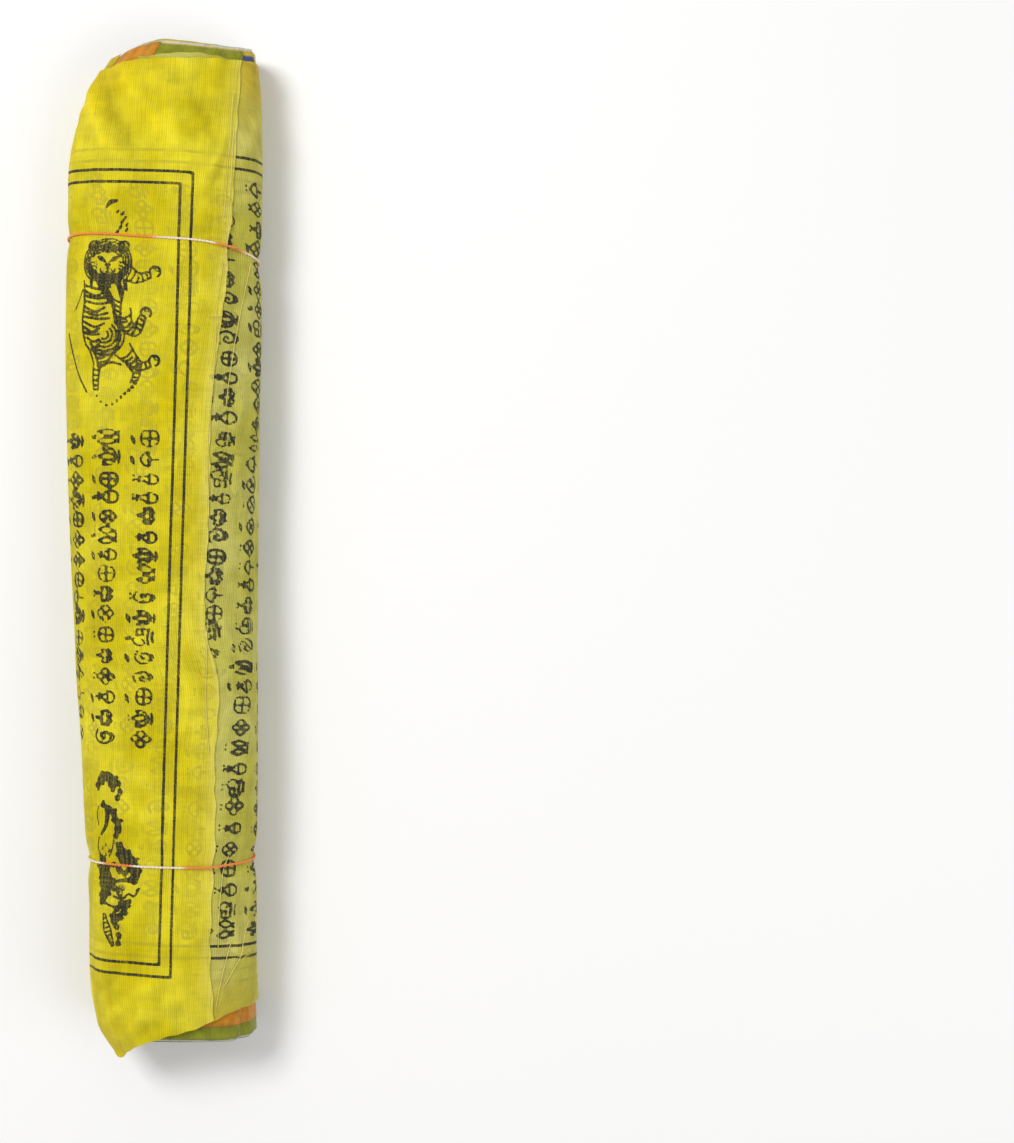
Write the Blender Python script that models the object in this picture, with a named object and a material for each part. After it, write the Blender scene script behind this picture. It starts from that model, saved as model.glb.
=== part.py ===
"""A roll of printed cotton flags, held by two thin tie threads.

The flags lie on each other in one long stack, which is wound across their height into a
flattened roll. The outermost flag is wound last, so its free edge shows as a low step along
the top of the roll. Units are metres. +Y is the roll's long axis, +Z is up, and the origin is
the middle of the roll's footprint on the surface that it rests on.
"""

import bmesh
import bpy
import numpy as np

MM = 0.001

# Middle of the whole thing in the tables below, which becomes the origin
ORIGIN_X, ORIGIN_Y = -0.56 * MM, 0.07 * MM

# Section of the roll
OVAL_POWER = 2.45  # 2 is an ellipse; more gives a flatter top and rounder shoulders
FLAT_SPOT = 1.7 * MM  # how much of the oval the surface presses flat
EDGE_STEP = 1.3 * MM  # drop from the outer flag's free edge to the turn under it
SECTION_POINTS = 52
WAVES = 0.45 * MM  # height of the soft long hollows that the winding leaves

# Place along the roll, left and right side, and height, all in millimetres
OUTLINE = np.array([
    # y, left, right, height
    (-153.0, -17.1, 28.2, 27.6),
    (-147.0, -20.5, 28.9, 29.6),
    (-138.0, -22.3, 29.0, 31.4),
    (-122.0, -23.3, 28.7, 32.4),
    (-94.0, -24.6, 28.4, 32.8),
    (-64.0, -26.0, 28.5, 32.6),
    (-28.0, -28.4, 28.8, 32.0),
    (12.0, -30.1, 29.1, 31.6),
    (46.0, -31.2, 29.5, 31.2),
    (76.0, -31.6, 29.8, 31.0),
    (106.0, -31.1, 29.9, 30.8),
    (121.0, -29.7, 29.9, 30.4),
    (131.0, -27.6, 29.8, 29.8),
    (141.0, -24.4, 29.6, 28.8),
    (151.0, -18.7, 29.2, 27.2),
    (156.0, -14.5, 28.4, 25.6),
])

# Free edge of the outer flag, as seen from above: y, x, in millimetres
FREE_EDGE = np.array([
    (-153.0, 16.6),
    (-120.0, 16.4),
    (-66.0, 17.9),
    (-42.0, 18.4),
    (-28.0, 14.9),
    (0.0, 15.1),
    (50.0, 16.4),
    (76.0, 20.2),
    (116.0, 23.2),
    (156.0, 25.4),
])

# Where the cloth ends, by the angle round the section: 0 right, 90 top, 180 left, in degrees.
# The outer wrap was wound a little askew, so its side edge slants and shows the flags inside.
ENDS = np.array([
    # angle, low wrap, low inside, high inside, high wrap (millimetres along y)
    (0.0, -138.3, -147.0, 153.2, 150.2),
    (50.0, -140.2, -148.0, 153.0, 149.6),
    (80.0, -144.6, -147.8, 153.4, 149.4),
    (105.0, -148.6, -147.6, 154.6, 149.0),
    (130.0, -152.4, -147.8, 153.4, 148.2),
    (150.0, -154.9, -147.2, 151.2, 147.0),
    (180.0, -145.8, -145.6, 148.6, 145.6),
    (225.0, -143.6, -146.6, 151.0, 147.2),
    (270.0, -142.2, -147.4, 152.6, 149.4),
    (315.0, -139.8, -147.2, 153.6, 150.6),
    (360.0, -138.3, -147.0, 153.2, 150.2),
])

# Rings of the end faces: depth inside the outer surface, and how much it stands out, in
# millimetres, from the inside's end at the low and the high end
END_RINGS = np.array([
    # depth, low, high
    (1.7, 0.6, 0.5),
    (4.6, 0.5, 0.2),
    (5.8, -1.8, -1.9),
    (7.0, -0.2, -0.5),
    (10.4, -0.6, -0.9),
    (11.8, -2.7, -2.8),
    (13.4, -1.4, -1.6),
])
WRAP_DEPTH = 0.9 * MM  # the outer wrap ends as a lip this thick

# Ties: a thread round the roll, which sinks a little into the cloth
TIE_RADIUS = 0.55 * MM
TIE_GAP = 0.45 * MM
TIE_BRIDGE = 6.0  # the thread leaves the step's edge this far on, in degrees
TIE_POINTS = 72
TIE_SIDES = 6
GROOVE_WIDTH = 4.4 * MM
GROOVE_TOP = 0.9 * MM
GROOVE_UNDER = 2.5 * MM  # the roll's weight presses the thread in underneath
KNOT_RADIUS = 1.5 * MM
KNOT_ANGLE = -14.0  # on the right flank, in degrees
KNOT_LENGTH = 3.0 * MM

# Place of each tie by the angle round the section, in millimetres along y
TIES = {
    "tie_upper": [(0.0, 88.4), (40.0, 91.6), (70.0, 93.6), (90.0, 94.4), (115.0, 95.6),
                  (150.0, 96.0), (180.0, 95.0), (225.0, 93.2), (270.0, 91.0), (315.0, 89.0),
                  (360.0, 88.4)],
    "tie_lower": [(0.0, -94.2), (40.0, -95.2), (70.0, -95.6), (90.0, -95.4), (115.0, -94.9),
                  (150.0, -94.2), (180.0, -93.6), (225.0, -93.0), (270.0, -93.2),
                  (315.0, -93.8), (360.0, -94.2)],
}


def clear_scene():
    for thing in list(bpy.data.objects):
        bpy.data.objects.remove(thing, do_unlink=True)


def smooth_read(x, knots, values):
    """Reads a table at x along a smooth curve: a cubic between knots, with the slope of the
    neighbours at each knot."""
    knots = np.asarray(knots, float)
    values = np.asarray(values, float)
    slopes = np.gradient(values, knots)
    x = np.clip(x, knots[0], knots[-1])
    i = np.clip(np.searchsorted(knots, x) - 1, 0, len(knots) - 2)
    span = knots[i + 1] - knots[i]
    t = (x - knots[i]) / span
    return ((1 + 2 * t) * (1 - t) ** 2 * values[i] + t * (1 - t) ** 2 * span * slopes[i]
            + t * t * (3 - 2 * t) * values[i + 1] + t * t * (t - 1) * span * slopes[i + 1])


def round_section(angle, table):
    """Reads a table whose first column is the angle round the section in degrees."""
    table = np.asarray(table)
    return smooth_read(np.degrees(angle) % 360.0, table[:, 0], table[:, 1]) * MM


def outline_at(y):
    """Half-width, half-height and middle of the section at y."""
    left, right, height = (
        smooth_read(y / MM, OUTLINE[:, 0], OUTLINE[:, column]) * MM for column in (1, 2, 3)
    )
    return (right - left) / 2, height / 2, (left + right) / 2


def free_edge_angle(y):
    """Angle of the outer flag's free edge, from where it lies across the top of the oval."""
    half_width, _, middle = outline_at(y)
    x = smooth_read(y / MM, FREE_EDGE[:, 0], FREE_EDGE[:, 1]) * MM
    share = np.clip((x - middle) / half_width, -1, 1)
    return np.arccos(np.sign(share) * np.abs(share) ** (OVAL_POWER / 2))


def groove(y, angle):
    """How deep the ties press the cloth in: bell-shaped across, deeper underneath."""
    under = np.clip(-np.sin(angle), 0, 1) ** 0.7
    depth = GROOVE_TOP + (GROOVE_UNDER - GROOVE_TOP) * under
    total = 0.0
    for route in TIES.values():
        away = (y - round_section(angle, route)) / GROOVE_WIDTH
        total = total + depth * np.exp(-away * away)
    return total


def waves(y, angle):
    """Soft hollows and ridges along the roll: three slow waves of angle and length."""
    return WAVES * (
        np.sin(3 * angle + 21 * y) * np.cos(17 * y + 0.6)
        + 0.6 * np.sin(5 * angle - 34 * y + 1.3)
        + 0.35 * np.sin(2 * angle + 63 * y + 2.1)
    )


def wound_point(y, angle, depth, turn):
    """A point of the wound section: an oval of the given power, shrunk by its depth, by the
    tie grooves and by the spiral's own drop over one turn, then pressed flat underneath. The
    grooves, waves and drop fade out towards the core."""
    half_width, half_height, middle = outline_at(y)
    under = np.clip(-np.sin(angle), 0, 1)
    relief = EDGE_STEP * turn + groove(y, angle) + waves(y, angle) * (1 - under)
    inward = depth + relief * (1 - depth / half_height)
    cos, sin = np.cos(angle), np.sin(angle)
    power = 2 / OVAL_POWER
    x = middle + (half_width - inward) * np.sign(cos) * np.abs(cos) ** power
    z = half_height - FLAT_SPOT + (half_height - inward) * np.sign(sin) * np.abs(sin) ** power
    return x, z


def spiral_angles(y):
    """One turn from the free edge leftwards round the roll and back under the edge."""
    turn = np.linspace(0, 1, SECTION_POINTS)
    return free_edge_angle(y) + 2 * np.pi * turn, turn


def section_ring(y, depth):
    """Ring of points at a depth that holds at the roll's middle and shrinks with its height;
    y is one number or one per point."""
    angles, turn = spiral_angles(np.mean(y))
    depth = depth * outline_at(y)[1] / outline_at(0.0)[1]
    x, z = wound_point(y, angles, depth, turn)
    pressed = np.clip(groove(y, angles) - GROOVE_TOP * 0.4, 0, None)
    floor = pressed * np.clip(-np.sin(angles), 0, 1) + depth
    y = np.broadcast_to(y, x.shape)
    return np.column_stack([x - ORIGIN_X, y - ORIGIN_Y, np.maximum(z, floor)])


def end_y(column, y):
    """Where the wrap or the flags inside end, for each point of a ring near y."""
    angles, _ = spiral_angles(y)
    return smooth_read(np.degrees(angles) % 360.0, ENDS[:, 0], ENDS[:, column]) * MM


def station_places():
    """Places of the sections along the roll, closer together at the ties."""
    low_tie = (-99.5, -97.2, -94.8, -92.4, -90.1)
    high_tie = (85.4, 88.6, 91.6, 94.4, 97.4, 100.4)
    places = [*np.linspace(-132.0, -104.0, 5), *low_tie, *np.linspace(-84.0, 80.0, 14),
              *high_tie, *np.linspace(107.0, 138.0, 5)]
    return np.array(places) * MM


def roll_rings():
    """All rings from the core of the low end, over the outside, to the core of the high end."""
    low, high = -145.0 * MM, 149.0 * MM
    rings = []
    for end, wrap, inside, rise in ((low, 1, 2, 1), (high, 4, 3, 2)):
        edge = end_y(wrap, end)
        step_in = end_y(inside, end)
        out = np.sign(end)
        part = [
            section_ring(edge - out * 1.2 * MM, 0.0),
            section_ring(edge, WRAP_DEPTH * 0.45),
            section_ring(edge - out * 0.5 * MM, WRAP_DEPTH),
        ]
        for row in END_RINGS:
            part.append(section_ring(step_in + out * row[rise] * MM, row[0] * MM))
        rings.append(part)
    sides = [section_ring(y, 0.0) for y in station_places()]
    return rings[0][::-1] + sides + rings[1]


def loft(name, rings, closed_ends=True):
    """Joins equal closed rings of points with quads and closes both ends with a fan."""
    bm = bmesh.new()
    rows = [[bm.verts.new(point) for point in ring] for ring in rings]
    for lower, upper in zip(rows, rows[1:]):
        for i in range(len(lower)):
            j = (i + 1) % len(lower)
            bm.faces.new((lower[i], lower[j], upper[j], upper[i]))
    if closed_ends:
        for row in (rows[0], rows[-1]):
            middle = bm.verts.new(np.mean([v.co for v in row], axis=0))
            for i in range(len(row)):
                bm.faces.new((row[i], row[(i + 1) % len(row)], middle))
    else:
        for i in range(len(rows[0])):
            j = (i + 1) % len(rows[0])
            bm.faces.new((rows[-1][i], rows[-1][j], rows[0][j], rows[0][i]))
    bmesh.ops.recalc_face_normals(bm, faces=bm.faces)
    bmesh.ops.triangulate(bm, faces=bm.faces)
    mesh = bpy.data.meshes.new(name)
    bm.to_mesh(mesh)
    bm.free()
    thing = bpy.data.objects.new(name, mesh)
    bpy.context.collection.objects.link(thing)
    mesh.shade_smooth()
    mesh.set_sharp_from_angle(angle=np.radians(40))
    return thing


def tie_path(route):
    """Closed path round the roll, a thread's radius and a small gap off the pressed cloth."""
    angle = np.linspace(0, 2 * np.pi, TIE_POINTS, endpoint=False)
    y = round_section(angle, route)
    bridged = angle + np.radians(TIE_BRIDGE) - free_edge_angle(np.mean(y))
    turn = bridged % (2 * np.pi) / (2 * np.pi)
    x, z = wound_point(y, angle, 0.0, turn)
    pressed = np.clip(groove(y, angle) - GROOVE_TOP * 0.4, 0, None)
    z = np.maximum(z, pressed * np.clip(-np.sin(angle), 0, 1))
    path = np.column_stack([x - ORIGIN_X, y - ORIGIN_Y, z])
    along = np.roll(path, -1, axis=0) - np.roll(path, 1, axis=0)
    along /= np.linalg.norm(along, axis=1)[:, None]
    outward = np.cross(along, (0.0, -1.0, 0.0))
    outward /= np.linalg.norm(outward, axis=1)[:, None]
    return path, along, outward, angle


def tie_rings(route):
    """A round thread along the path, with a swelling where it is knotted."""
    path, along, outward, angle = tie_path(route)
    length = np.linalg.norm(np.roll(path, -1, axis=0) - path, axis=1).sum()
    away = np.abs((np.degrees(angle) - KNOT_ANGLE + 180) % 360 - 180) / 360 * length
    radius = TIE_RADIUS + (KNOT_RADIUS - TIE_RADIUS) * np.exp(-((away / KNOT_LENGTH) ** 2))
    centre = path + outward * (radius + TIE_GAP)[:, None]
    side = np.cross(along, outward)
    around = np.linspace(0, 2 * np.pi, TIE_SIDES, endpoint=False)
    return [
        centre[i]
        + radius[i] * (np.cos(around)[:, None] * outward[i] + np.sin(around)[:, None] * side[i])
        for i in range(len(path))
    ]


def cloth_material(name, colour, roughness):
    material = bpy.data.materials.new(name)
    material.use_nodes = True
    shader = material.node_tree.nodes["Principled BSDF"]
    shader.inputs["Base Color"].default_value = (*colour, 1.0)
    shader.inputs["Roughness"].default_value = roughness
    shader.inputs["Metallic"].default_value = 0.0
    material.diffuse_color = (*colour, 1.0)
    return material


def build():
    clear_scene()
    roll = loft("roll", roll_rings())
    roll.data.materials.append(cloth_material("yellow_cotton", (0.62, 0.53, 0.02), 0.85))
    thread = cloth_material("orange_thread", (0.85, 0.28, 0.06), 0.6)
    for name, route in TIES.items():
        tie = loft(name, tie_rings(route), closed_ends=False)
        tie.data.materials.append(thread)


build()
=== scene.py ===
"""A roll of printed cotton flags held by two tie threads, dressed for the render.

The outer flag is one sheet wound once and two thirds round the roll. The flags inside show at
the ends, as the edges of their turns. Both follow the wound oval of the solid model. The print
is carved as strokes on a flat block, which keeps the distance to the nearest stroke, and the
sheet reads it where each of its points lay before it was wound. Lengths are in metres, and in
millimetres where a name or comment says so.
"""

import bmesh
import bpy
import numpy as np
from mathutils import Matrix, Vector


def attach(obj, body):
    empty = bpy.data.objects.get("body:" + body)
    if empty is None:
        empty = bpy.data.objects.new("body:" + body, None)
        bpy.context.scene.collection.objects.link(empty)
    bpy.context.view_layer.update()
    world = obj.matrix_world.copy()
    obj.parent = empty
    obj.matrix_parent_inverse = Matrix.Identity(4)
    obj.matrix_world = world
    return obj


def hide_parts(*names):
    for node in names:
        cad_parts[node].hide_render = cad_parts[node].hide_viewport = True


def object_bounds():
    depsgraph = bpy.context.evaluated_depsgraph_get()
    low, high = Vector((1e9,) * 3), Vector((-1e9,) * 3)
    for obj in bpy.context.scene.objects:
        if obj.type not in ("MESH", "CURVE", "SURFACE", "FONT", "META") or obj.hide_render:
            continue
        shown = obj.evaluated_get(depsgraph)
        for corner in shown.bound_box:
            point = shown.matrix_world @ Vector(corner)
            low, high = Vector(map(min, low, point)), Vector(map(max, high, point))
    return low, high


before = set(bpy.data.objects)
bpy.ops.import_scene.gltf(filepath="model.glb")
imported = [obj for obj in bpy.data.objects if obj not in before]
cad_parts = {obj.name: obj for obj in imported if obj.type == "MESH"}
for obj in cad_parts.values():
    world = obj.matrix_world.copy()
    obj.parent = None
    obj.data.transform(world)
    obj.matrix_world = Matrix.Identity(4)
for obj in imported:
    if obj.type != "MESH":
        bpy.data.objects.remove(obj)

CAD_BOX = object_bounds()
MM = 0.001

# The wound form, as in the solid model
ORIGIN_X, ORIGIN_Y = -0.56 * MM, 0.07 * MM
OVAL_POWER = 2.45
FLAT_SPOT = 1.7 * MM
EDGE_STEP = 1.3 * MM
WAVES = 0.45 * MM
OUTLINE = np.array([
    # y, left, right, height, in millimetres
    (-153, -17.1, 28.2, 27.6), (-147, -20.5, 28.9, 29.6), (-138, -22.3, 29, 31.4),
    (-122, -23.3, 28.7, 32.4), (-94, -24.6, 28.4, 32.8), (-64, -26, 28.5, 32.6),
    (-28, -28.4, 28.8, 32), (12, -30.1, 29.1, 31.6), (46, -31.2, 29.5, 31.2),
    (76, -31.6, 29.8, 31), (106, -31.1, 29.9, 30.8), (121, -29.7, 29.9, 30.4),
    (131, -27.6, 29.8, 29.8), (141, -24.4, 29.6, 28.8), (151, -18.7, 29.2, 27.2),
    (156, -14.5, 28.4, 25.6),
])
FREE_EDGE = np.array([
    # y, x, in millimetres
    (-153, 16.6), (-120, 16.4), (-66, 17.9), (-42, 18.4), (-28, 14.9), (0, 15.1), (50, 16.4),
    (76, 20.2), (116, 23.2), (156, 25.4),
])
ENDS = np.array([
    # angle, low wrap, low inside, high inside, high wrap, in millimetres along y
    (0, -138.3, -147, 153.2, 150.2), (50, -140.2, -148, 153, 149.6),
    (80, -144.6, -147.8, 153.4, 149.4), (105, -148.6, -147.6, 154.6, 149),
    (130, -152.4, -147.8, 153.4, 148.2), (150, -154.9, -147.2, 151.2, 147),
    (180, -145.8, -145.6, 148.6, 145.6), (225, -143.6, -146.6, 151, 147.2),
    (270, -142.2, -147.4, 152.6, 149.4), (315, -139.8, -147.2, 153.6, 150.6),
    (360, -138.3, -147, 153.2, 150.2),
])
LOW_WRAP, LOW_INSIDE, HIGH_INSIDE, HIGH_WRAP = 1, 2, 3, 4
END_RISE = np.array([
    # depth in the roll, and how far the flags stand out at the low and the high end
    (1.7, 0.6, 0.5), (4.6, 0.5, 0.2), (5.8, -1.8, -1.9), (7, -0.2, -0.5), (10.4, -0.6, -0.9),
    (11.8, -2.7, -2.8), (13.4, -1.4, -1.6),
])
GROOVE_WIDTH = 4.4 * MM
GROOVE_TOP, GROOVE_UNDER = 0.9 * MM, 2.5 * MM  # depth on the upper side and underneath
TIE_BRIDGE = 6.0  # degrees before the free edge at which a tie rises to the edge's level
KNOT_ANGLE = 346.0  # round the section, on the right flank
TIES = {
    # angle round the section in degrees, y in millimetres
    "tie_upper": [(0, 88.4), (40, 91.6), (70, 93.6), (90, 94.4), (115, 95.6), (150, 96),
                  (180, 95), (225, 93.2), (270, 91), (315, 89), (360, 88.4)],
    "tie_lower": [(0, -94.2), (40, -95.2), (70, -95.6), (90, -95.4), (115, -94.9), (150, -94.2),
                  (180, -93.6), (225, -93), (270, -93.2), (315, -93.8), (360, -94.2)],
}

# The flags, in millimetres
FLAG_HEIGHT = 250.0  # across the roll, from the free edge inwards
FLAG_WIDTH = 295.0  # along the roll
ROUND = 150.0  # roughly once round the roll
STEPS_UP = (
    # from, to, step: fine where the print shows from above, coarse where the flag is hidden
    (0.0, 5.0, 1.0), (5.0, 50.0, 0.48), (50.0, 72.0, 0.85), (72.0, 122.0, 1.8),
    (122.0, 154.0, 0.7), (154.0, 250.0, 8.0),
)
STEPS_ALONG = (
    # the same from side edge to side edge, with the middle at 0
    (-147.5, -130.0, 0.95), (-130.0, -116.0, 0.42), (-116.0, -58.0, 0.6), (-58.0, 46.0, 0.8),
    (46.0, 110.0, 0.52), (110.0, 119.0, 0.42), (119.0, 147.5, 0.95),
)
CLOTH = 0.24  # how thick the cut edges look
CLOSE_UP = 0.08  # part of a turn within which a turn closes up under the free edge
UNDER_EDGE = 0.3 * MM  # how far the second turn starts below the first
SINK = 0.5 * MM  # how much more it sinks where it is hidden
EDGE_REST = 0.4  # how far the free edge stays above the turn under it
EDGE_REACH = 7.0  # how far from the free edge the cloth comes down to that turn
SKEW_START, SKEW = -8.1, 0.0435  # middle of the print along y, and its drift round the roll
TWIST = 0.00029  # how much further round the print comes at the wide end
FRAME_SIDE = ((-128.65, 3.15), (113.45, 10.65))  # y, x of the printed frame's side on top
EDGE_FRAY = 0.3  # how far the free edge wanders
DOUBLED_TO = 0.69  # part of a turn over which the flag lies on its own second turn

# The flags inside, in millimetres
FLAGS_INSIDE = 24
STACK_TURNS = 2.3  # from the outside to the core
CORE_DEPTH = 14.2  # of the innermost turn
UNDER_WRAP = 1.15  # depth of the outermost turn
EDGE_ROWS = (0.0, 1.0, 3.5, 9.0, 17.0)  # rows of a strip, from its tip inwards
EDGE_THICKNESS = 0.15 * MM
STACK_STEPS = 230  # points of a strip round the roll
FLAG_DYES = {
    "orange": (0.56, 0.225, 0.014),
    "green": (0.235, 0.25, 0.014),
    "yellow": (0.60, 0.45, 0.010),
    "blue": (0.055, 0.075, 0.235),
    "white": (0.62, 0.60, 0.52),
}
DYE_ORDER = ("orange", "green", "blue", "yellow", "white")  # from the outermost inwards
# Flags that lie further in than their neighbours, in millimetres, at the low and the high end
SHORT_FLAGS = (
    {0: 4.6, 2: 2.0, 3: 1.0, 7: 2.0, 8: 3.0, 12: 2.5, 21: 5.0, 22: 5.0, 23: 6.0},
    {1: 0.8, 2: 2.0, 6: 1.5, 11: 2.5, 17: 1.0, 21: 1.5, 22: 2.6},
)
PACE_SLOW = (0.12, -0.05)  # part of a turn past the start where fewest flags begin
FLAGS_START = (-6.0, 104.0)  # angle at which the outermost begins, at the low and the high end


def smooth_read(x, knots, values):
    """Reads a table at x along a smooth curve: a cubic between knots, with the slope of the
    neighbours at each knot."""
    knots = np.asarray(knots, float)
    values = np.asarray(values, float)
    slopes = np.gradient(values, knots)
    x = np.clip(x, knots[0], knots[-1])
    i = np.clip(np.searchsorted(knots, x) - 1, 0, len(knots) - 2)
    span = knots[i + 1] - knots[i]
    t = (x - knots[i]) / span
    return ((1 + 2 * t) * (1 - t) ** 2 * values[i] + t * (1 - t) ** 2 * span * slopes[i]
            + t * t * (3 - 2 * t) * values[i + 1] + t * t * (t - 1) * span * slopes[i + 1])


def round_section(angle, table, column=1):
    """Reads a table whose first column is the angle round the section in degrees."""
    table = np.asarray(table)
    return smooth_read(np.degrees(angle) % 360.0, table[:, 0], table[:, column])


def outline_at(y):
    """Half-width, half-height and middle of the section at y."""
    left, right, height = (
        smooth_read(y / MM, OUTLINE[:, 0], OUTLINE[:, column]) * MM for column in (1, 2, 3)
    )
    return (right - left) / 2, height / 2, (left + right) / 2


def free_edge_angle(y):
    """Angle of the outer flag's free edge, from where it lies across the top of the oval."""
    half_width, _, middle = outline_at(y)
    x = smooth_read(y / MM, FREE_EDGE[:, 0], FREE_EDGE[:, 1]) * MM
    share = np.clip((x - middle) / half_width, -1, 1)
    return np.arccos(np.sign(share) * np.abs(share) ** (OVAL_POWER / 2))


def groove(y, angle):
    """How deep the ties press the cloth in: bell-shaped across, deeper underneath."""
    under = np.clip(-np.sin(angle), 0, 1) ** 0.7
    depth = GROOVE_TOP + (GROOVE_UNDER - GROOVE_TOP) * under
    total = 0.0
    for route in TIES.values():
        away = (y - round_section(angle, route) * MM) / GROOVE_WIDTH
        total = total + depth * np.exp(-away * away)
    return total


def waves(y, angle):
    """Soft hollows and ridges along the roll: three slow waves of angle and length."""
    return WAVES * (
        np.sin(3 * angle + 21 * y) * np.cos(17 * y + 0.6)
        + 0.6 * np.sin(5 * angle - 34 * y + 1.3)
        + 0.35 * np.sin(2 * angle + 63 * y + 2.1)
    )


def wound(y, angle, depth, relief=0.0, lowest=0.0, tied=1.0):
    """Points of the wound section: an oval of the given power, shrunk by its depth, by the tie
    grooves and the soft waves, raised by its relief, and pressed flat underneath. Grooves and
    waves fade towards the core. lowest is the height above the surface that a buried layer
    keeps there. tied is 0 for the form before the ties press it in."""
    half_width, half_height, middle = outline_at(y)
    under = np.clip(-np.sin(angle), 0, 1)
    fade = np.clip(1.12 - depth / half_height, 0, 1)
    pressed = tied * groove(y, angle)
    hollow = pressed + waves(y, angle) * (1 - under)
    inward = depth + hollow * fade - relief * (1 - under)
    cos, sin = np.cos(angle), np.sin(angle)
    power = 2 / OVAL_POWER
    x = middle + (half_width - inward) * np.sign(cos) * np.abs(cos) ** power
    z = half_height - FLAT_SPOT + (half_height - inward) * np.sign(sin) * np.abs(sin) ** power
    pressed = np.clip(pressed - GROOVE_TOP * 0.4, 0, None)
    z = np.maximum(z, pressed * under * fade + lowest)
    return np.stack([x - ORIGIN_X, np.broadcast_to(y, x.shape) - ORIGIN_Y, z], axis=-1)


def ripple(a, b, seed, count=7, low=0.6, high=1.8):
    """Smooth uneven values between about -1 and 1: a sum of waves with seeded directions."""
    draw = np.random.default_rng(seed)
    total = 0.0
    for _ in range(count):
        turn = draw.uniform(0, 2 * np.pi)
        pace = draw.uniform(low, high)
        phase = draw.uniform(0, 2 * np.pi)
        total = total + np.sin(pace * (a * np.cos(turn) + b * np.sin(turn)) + phase)
    return total / np.sqrt(count)


# The block that prints the flags. Places on it are (u, v) in millimetres: u from the free edge
# up the flag, v along the roll from the middle of the flag.
BLOCK_STEP = 0.35
BLOCK_REACH = 1.6  # how far round a stroke its distance is kept
BLOCK_U = np.arange(-10.0, FLAG_HEIGHT + 10.0, BLOCK_STEP)
BLOCK_V = np.arange(-160.0, 170.0, BLOCK_STEP)
FRAME_BOTTOM, FRAME_TOP = 12.6, 237.0
FRAME_LOW, FRAME_HIGH = -120.8, 121.4
FRAME_GAP = 3.6
FRAME_LINE = 0.9
ROW_FIRST, ROW_PITCH = 20.6, 12.35
ORNAMENT_HEIGHT, ORNAMENT_WIDTH, ORNAMENT_PITCH = 6.0, 4.8, 5.9
ORNAMENT_LINE = 0.74


def window(low, high, steps):
    """The part of a block axis between two places, with the reach of a stroke added."""
    first = max(int((low - BLOCK_REACH - steps[0]) / BLOCK_STEP), 0)
    last = max(int((high + BLOCK_REACH - steps[0]) / BLOCK_STEP) + 2, 0)
    return slice(first, last)


def carve(block, line, width, away=False):
    """Carves a stroke of the given width along a line of (u, v) points: each cell keeps the
    distance to the nearest stroke's edge, below zero inside. away cuts it out again."""
    for (u0, v0), (u1, v1) in zip(line[:-1], line[1:]):
        rows = window(min(u0, u1) - width / 2, max(u0, u1) + width / 2, BLOCK_U)
        columns = window(min(v0, v1) - width / 2, max(v0, v1) + width / 2, BLOCK_V)
        u = BLOCK_U[rows, None] - u0
        v = BLOCK_V[None, columns] - v0
        du, dv = u1 - u0, v1 - v0
        t = np.clip((u * du + v * dv) / max(du * du + dv * dv, 1e-9), 0, 1)
        distance = np.hypot(u - t * du, v - t * dv) - width / 2
        part = block[rows, columns]
        if away:
            np.maximum(part, -distance, out=part)
        else:
            np.minimum(part, distance, out=part)


def bend(points, count=24):
    """A smooth curve through a few points."""
    points = np.asarray(points, float)
    knots = np.concatenate([[0], np.cumsum(np.linalg.norm(np.diff(points, axis=0), axis=1))])
    t = np.linspace(0, knots[-1], count)
    return np.column_stack([smooth_read(t, knots, points[:, i]) for i in (0, 1)])


def ring(centre, radius, start=0.0, end=360.0, count=20):
    """An arc round a centre, from one angle to another in degrees."""
    turn = np.radians(np.linspace(start, end, count))
    return np.column_stack([centre[0] + radius * np.sin(turn), centre[1] + radius * np.cos(turn)])


def curl(centre, radius, start, turns=1.4, count=22):
    """A spiral that closes on its centre."""
    t = np.linspace(0, 1, count)
    turn = np.radians(start) + 2 * np.pi * turns * t
    reach = radius * (1 - 0.86 * t)
    return np.column_stack([centre[0] + reach * np.sin(turn), centre[1] + reach * np.cos(turn)])


def unit(vectors):
    return vectors / np.linalg.norm(vectors, axis=1)[:, None]


def directions(path):
    """Unit vectors along a path on the block and square to it."""
    along = unit(np.gradient(path, axis=0))
    return along, np.column_stack([-along[:, 1], along[:, 0]])


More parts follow.
